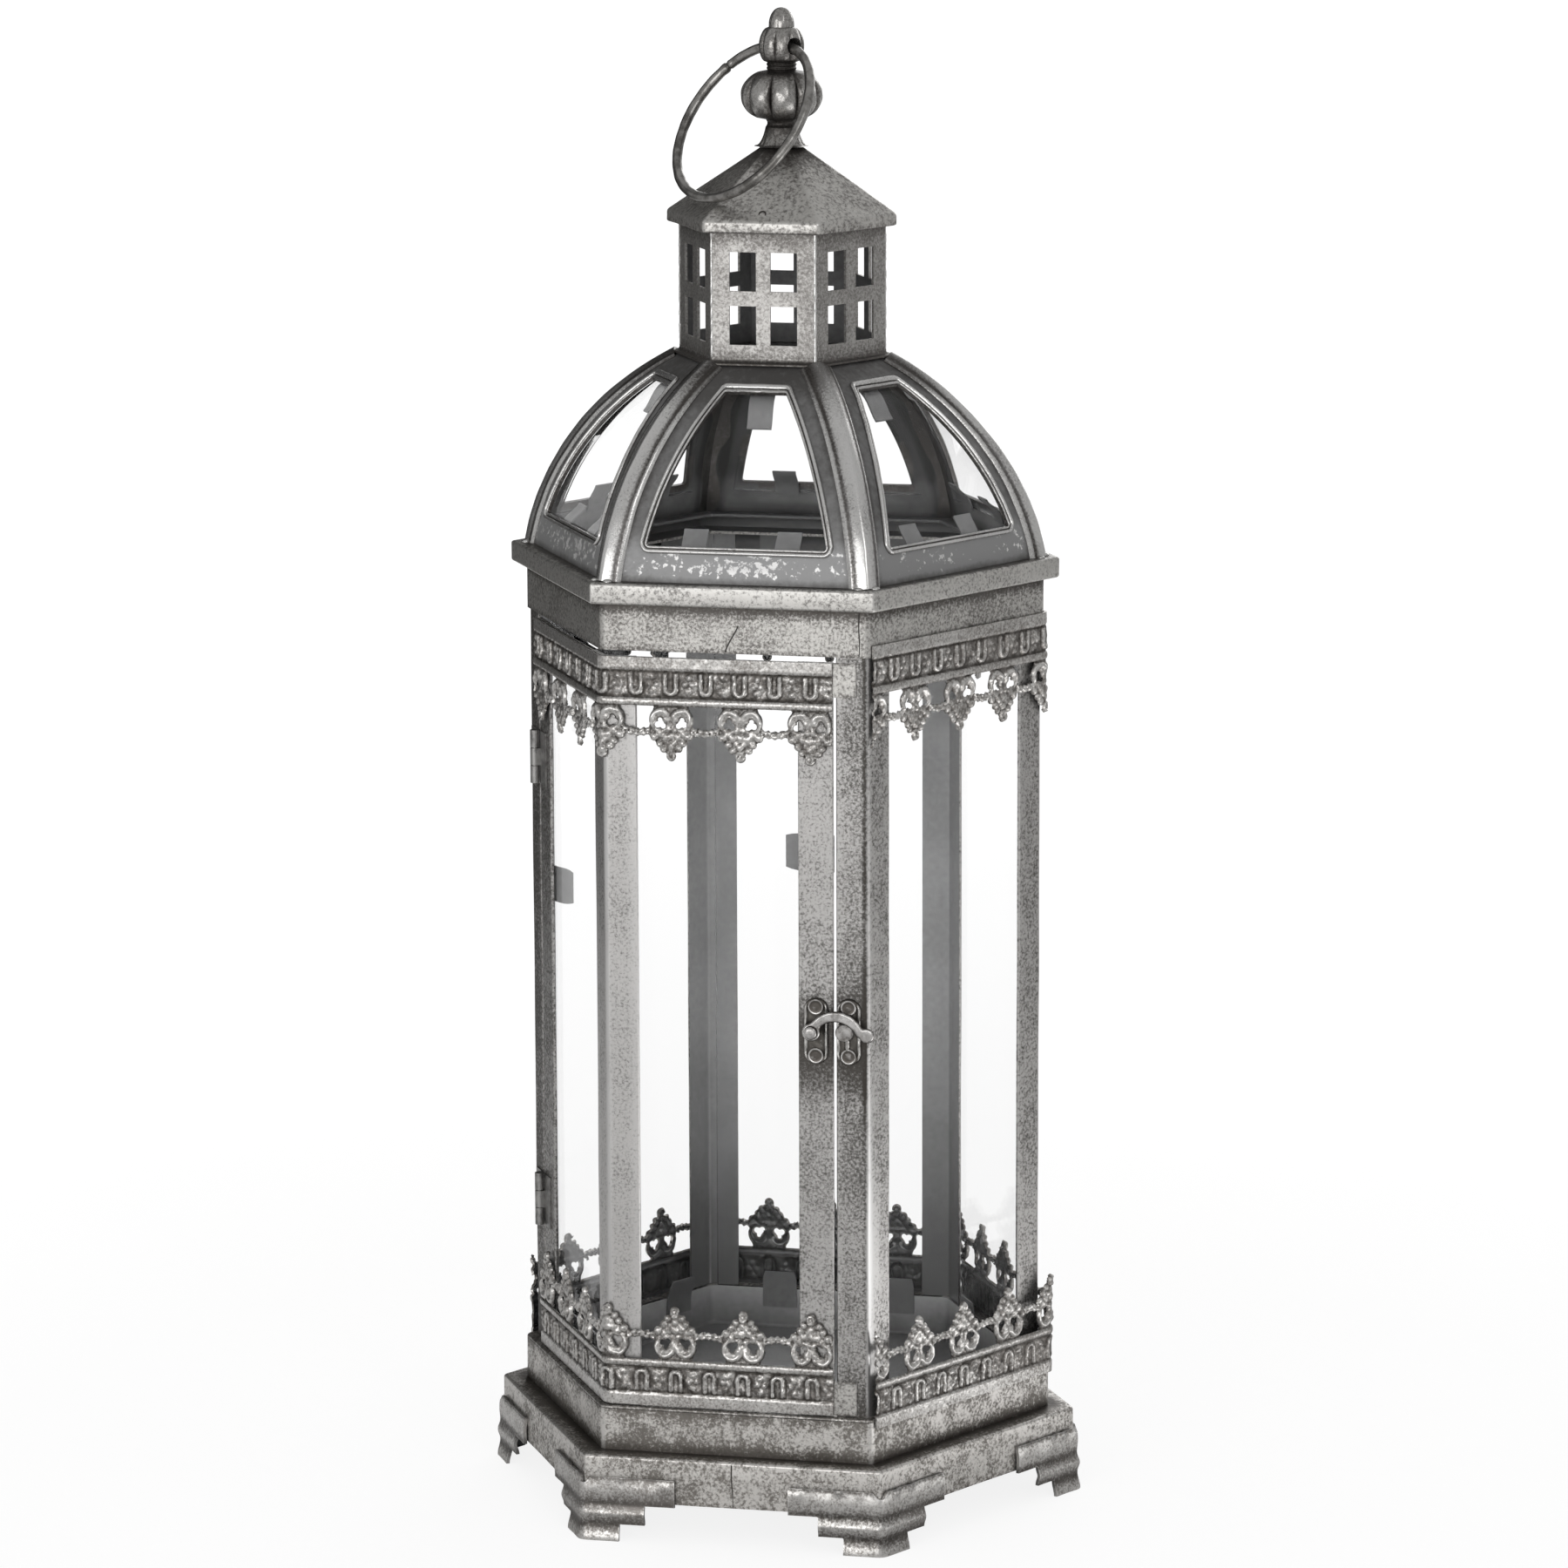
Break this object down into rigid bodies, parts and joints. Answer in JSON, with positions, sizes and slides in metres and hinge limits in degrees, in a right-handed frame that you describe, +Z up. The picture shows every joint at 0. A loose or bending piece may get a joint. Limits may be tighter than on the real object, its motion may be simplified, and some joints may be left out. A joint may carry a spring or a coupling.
{
  "type": "candle lantern",
  "caption": "Hexagonal sheet-metal candle lantern with glass sides, a two-sided hinged door with a swing hook, a glazed dome, a vented cupola and a carrying ring.",
  "frame": {"origin": "on the ground under the middle of the base", "axes": "+Z up, -Y out of the front side"},
  "size_m": [0.208, 0.1802, 0.5148],
  "materials": {
    "silvered_sheet": "antique silver leaf over grey primer, worn at the edges",
    "stamped_sheet": "antique silver leaf on stamped relief, dark in the hollows",
    "steel_hardware": "tarnished plated steel",
    "tin_clips": "matt dark grey",
    "clear_glass": "clear"
  },
  "bodies": {
    "frame": {"base_pan": "silvered_sheet", "catch_peg": "steel_hardware", "catch_plate": "steel_hardware", "catch_rivets": "steel_hardware", "cornice_rim": "silvered_sheet", "cupola": "silvered_sheet", "cupola_roof": "silvered_sheet", "dome_clips": "tin_clips", "dome_gore_back": "silvered_sheet", "dome_gore_front": "silvered_sheet", "dome_gore_left_back": "silvered_sheet", "dome_gore_left_front": "silvered_sheet", "dome_gore_right_back": "silvered_sheet", "dome_gore_right_front": "silvered_sheet", "dome_panes": "clear_glass", "dome_ribs": "silvered_sheet", "dome_window_beads": "silvered_sheet", "finial": "silvered_sheet", "finial_nut": "steel_hardware", "floor_plate": "silvered_sheet", "foot_back_left": "stamped_sheet", "foot_back_right": "stamped_sheet", "foot_front_left": "stamped_sheet", "foot_front_right": "stamped_sheet", "foot_left": "stamped_sheet", "foot_right": "stamped_sheet", "gallery_lower_back": "stamped_sheet", "gallery_lower_right": "stamped_sheet", "gallery_upper_back": "stamped_sheet", "gallery_upper_right": "stamped_sheet", "head_band": "silvered_sheet", "hinge_leaves_post": "steel_hardware", "hinge_pins": "steel_hardware", "pane_back": "clear_glass", "pane_clips": "tin_clips", "pane_left_back": "clear_glass", "pane_right_back": "clear_glass", "pane_right_front": "clear_glass", "plinth_band": "silvered_sheet", "post_back_left": "silvered_sheet", "post_back_right": "silvered_sheet", "post_front_right": "silvered_sheet", "post_left": "silvered_sheet", "post_right": "silvered_sheet"},
    "door": {"door_bottom_rail": "silvered_sheet", "door_corner_post": "silvered_sheet", "door_gallery_bottom": "stamped_sheet", "door_gallery_top": "stamped_sheet", "door_hinge_stile": "silvered_sheet", "door_latch_stile": "silvered_sheet", "door_pane_clips": "tin_clips", "door_pane_front": "clear_glass", "door_pane_side": "clear_glass", "door_top_rail": "silvered_sheet", "hinge_leaves_door": "steel_hardware", "latch_plate": "steel_hardware", "latch_rivets": "steel_hardware", "latch_pivot": "steel_hardware"},
    "hook": {"latch_hook": "steel_hardware"},
    "ring": {"carry_ring": "steel_hardware"}
  },
  "joints": [
    {"name": "door_hinge", "type": "hinge", "parent": "frame", "child": "door", "pos_m": [-0.08605, -0.01065, 0.0455], "axis": [0, 0, -1], "range_deg": [0, 115]},
    {"name": "hook_pivot", "type": "hinge", "parent": "door", "child": "hook", "pos_m": [0.02625, -0.07794, 0.179], "axis": [0, -1, 0], "range_deg": [0, 100]},
    {"name": "ring_swing", "type": "hinge", "parent": "frame", "child": "ring", "pos_m": [0, 0, 0.50196], "axis": [-0.766, 0.6428, 0], "range_deg": [0, 292]}
  ]
}
